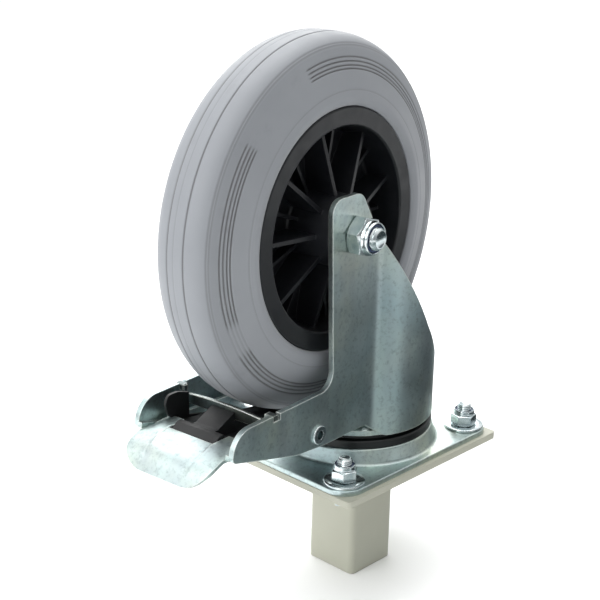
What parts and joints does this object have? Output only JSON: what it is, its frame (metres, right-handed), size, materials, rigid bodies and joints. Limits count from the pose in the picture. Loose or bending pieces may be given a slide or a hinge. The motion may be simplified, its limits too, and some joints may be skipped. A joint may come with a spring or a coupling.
{
  "type": "swivel caster wheel",
  "caption": "Swivel caster with a grey rubber wheel on a black ribbed rim, pressed-steel fork, total brake with foot pedal, and an adapter plate with a square plug-in post.",
  "frame": {"origin": "on the swivel axis, at the adapter plate's underside, which is the shoulder that the square post plugs in up to", "axes": "+Z along the swivel axis from the post towards the wheel, so the part is stored wheel-up and is turned over in use; +X along the plate's long side, away from the wheel's trail; +Y along the plate's short side. At rest the fork stands 5.27 degrees about +Z from the plate's long side"},
  "size_m": [0.2289, 0.11, 0.3189],
  "materials": {
    "zinc_steel": "bright zinc-plated pressed steel, satin",
    "zinc_hardware": "bright zinc-plated turned and headed steel",
    "bearing_steel": "polished hardened steel",
    "painted_steel": "pebble-grey paint, satin",
    "tyre_rubber": "grey non-marking rubber, matt",
    "rim_plastic": "black moulded polypropylene, satin",
    "black_plastic": "black moulded nylon, matt",
    "seal_rubber": "black rubber, satin",
    "nylon": "dark blue nylon"
  },
  "bodies": {
    "mount": {"adapter_plate": "painted_steel", "post_tube": "painted_steel", "weld_bead": "painted_steel", "caster_plate": "zinc_steel", "seal_ring": "seal_rubber", "kingpin": "zinc_hardware", "lock_ring": "zinc_steel", "plate_screws": "zinc_hardware", "plate_washers": "zinc_hardware", "plate_nuts": "zinc_hardware", "plate_nut_inserts": "nylon"},
    "lower_ball_row": {"lower_balls": "bearing_steel"},
    "upper_ball_row": {"upper_balls": "bearing_steel"},
    "fork": {"fork": "zinc_steel", "axle_bolt": "zinc_hardware", "axle_nut": "zinc_hardware", "axle_nut_insert": "nylon", "axle_tube": "bearing_steel", "dust_discs": "black_plastic", "brake_pin": "zinc_hardware"},
    "brake": {"pedal": "zinc_steel", "brake_lever": "black_plastic", "brake_shoe": "zinc_steel"},
    "wheel": {"tyre": "tyre_rubber", "rim": "rim_plastic", "bearing_sleeve": "bearing_steel"},
    "roller_set": {"rollers": "bearing_steel", "roller_cage": "black_plastic"}
  },
  "joints": [
    {"name": "swivel", "type": "hinge", "parent": "mount", "child": "fork", "pos_m": [0, 0, 0.0237], "axis": [0, 0, 1], "continuous": true},
    {"name": "wheel_spin", "type": "hinge", "parent": "fork", "child": "wheel", "pos_m": [-0.04939, -0.00456, 0.1445], "axis": [-0.0918, 0.9958, 0], "continuous": true},
    {"name": "brake_pedal", "type": "hinge", "parent": "fork", "child": "brake", "pos_m": [-0.07737, -0.00714, 0.042], "axis": [-0.0918, 0.9958, 0], "range_deg": [0, 3.5]},
    {"name": "lower_ball_roll", "type": "hinge", "parent": "mount", "child": "lower_ball_row", "pos_m": [0, 0, 0.02], "axis": [0, 0, 1], "continuous": true},
    {"name": "upper_ball_roll", "type": "hinge", "parent": "mount", "child": "upper_ball_row", "pos_m": [0, 0, 0.0294], "axis": [0, 0, 1], "continuous": true},
    {"name": "roller_roll", "type": "hinge", "parent": "fork", "child": "roller_set", "pos_m": [-0.04939, -0.00456, 0.1445], "axis": [-0.0918, 0.9958, 0], "continuous": true}
  ],
  "couplings": [
    {"joint": "lower_ball_roll", "follows": "swivel", "ratio": 0.5},
    {"joint": "upper_ball_roll", "follows": "swivel", "ratio": 0.5},
    {"joint": "roller_roll", "follows": "wheel_spin", "ratio": 0.6}
  ]
}
